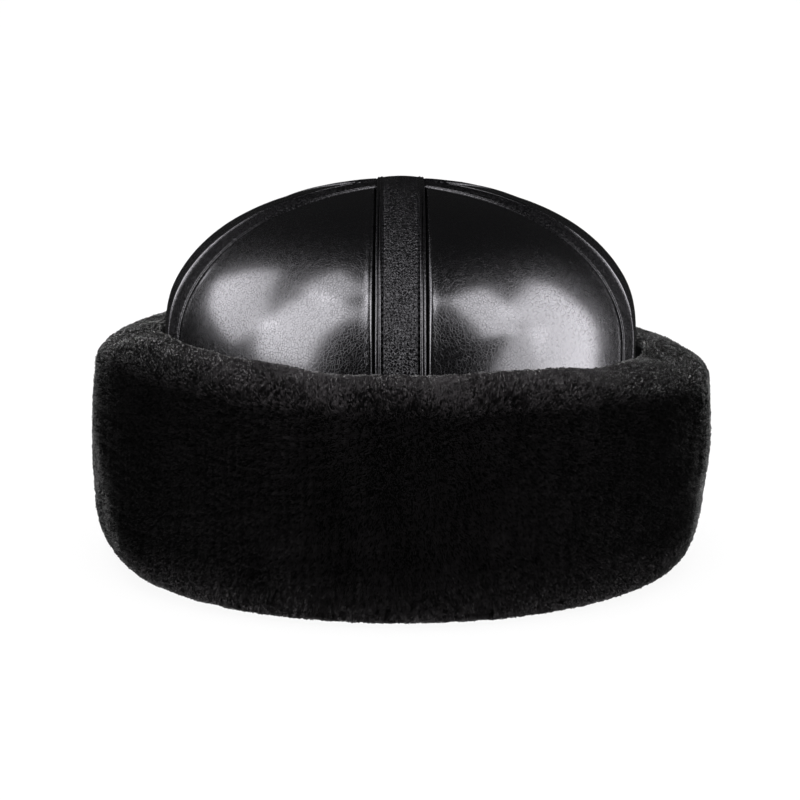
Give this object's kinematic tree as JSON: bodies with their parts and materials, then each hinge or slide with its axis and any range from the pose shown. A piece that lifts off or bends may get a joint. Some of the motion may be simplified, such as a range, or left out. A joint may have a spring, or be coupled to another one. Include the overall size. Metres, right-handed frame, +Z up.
{
  "type": "aviator hat",
  "caption": "Black leather hat with a domed panelled crown, a centre strap and side bands over the seams, and a deep turned-up fur cuff all round.",
  "frame": {"origin": "middle of the hat's bounding box, on the surface that the cuff rests on", "axes": "+Z up through the apex, -Y toward the front with the centre strap, +X toward the wearer's left, which is the right side of the picture"},
  "size_m": [0.2578, 0.2932, 0.1541],
  "materials": {
    "panel_leather": "glossy fine-grained black nappa leather",
    "strap_leather": "semi-gloss black leather with a slightly coarser wrinkled grain and stitched edges",
    "fur": "dense sheared black fur, matt with a faint sheen at the rim"
  },
  "bodies": {
    "root": {"panel_front_left": "panel_leather", "panel_front_right": "panel_leather", "panel_side_left": "panel_leather", "panel_side_right": "panel_leather", "panel_back_left": "panel_leather", "panel_back_right": "panel_leather", "center_strap": "strap_leather", "band_front_left": "strap_leather", "band_front_right": "strap_leather", "band_back_left": "strap_leather", "band_back_right": "strap_leather", "cuff_fur": "fur"}
  },
  "joints": []
}
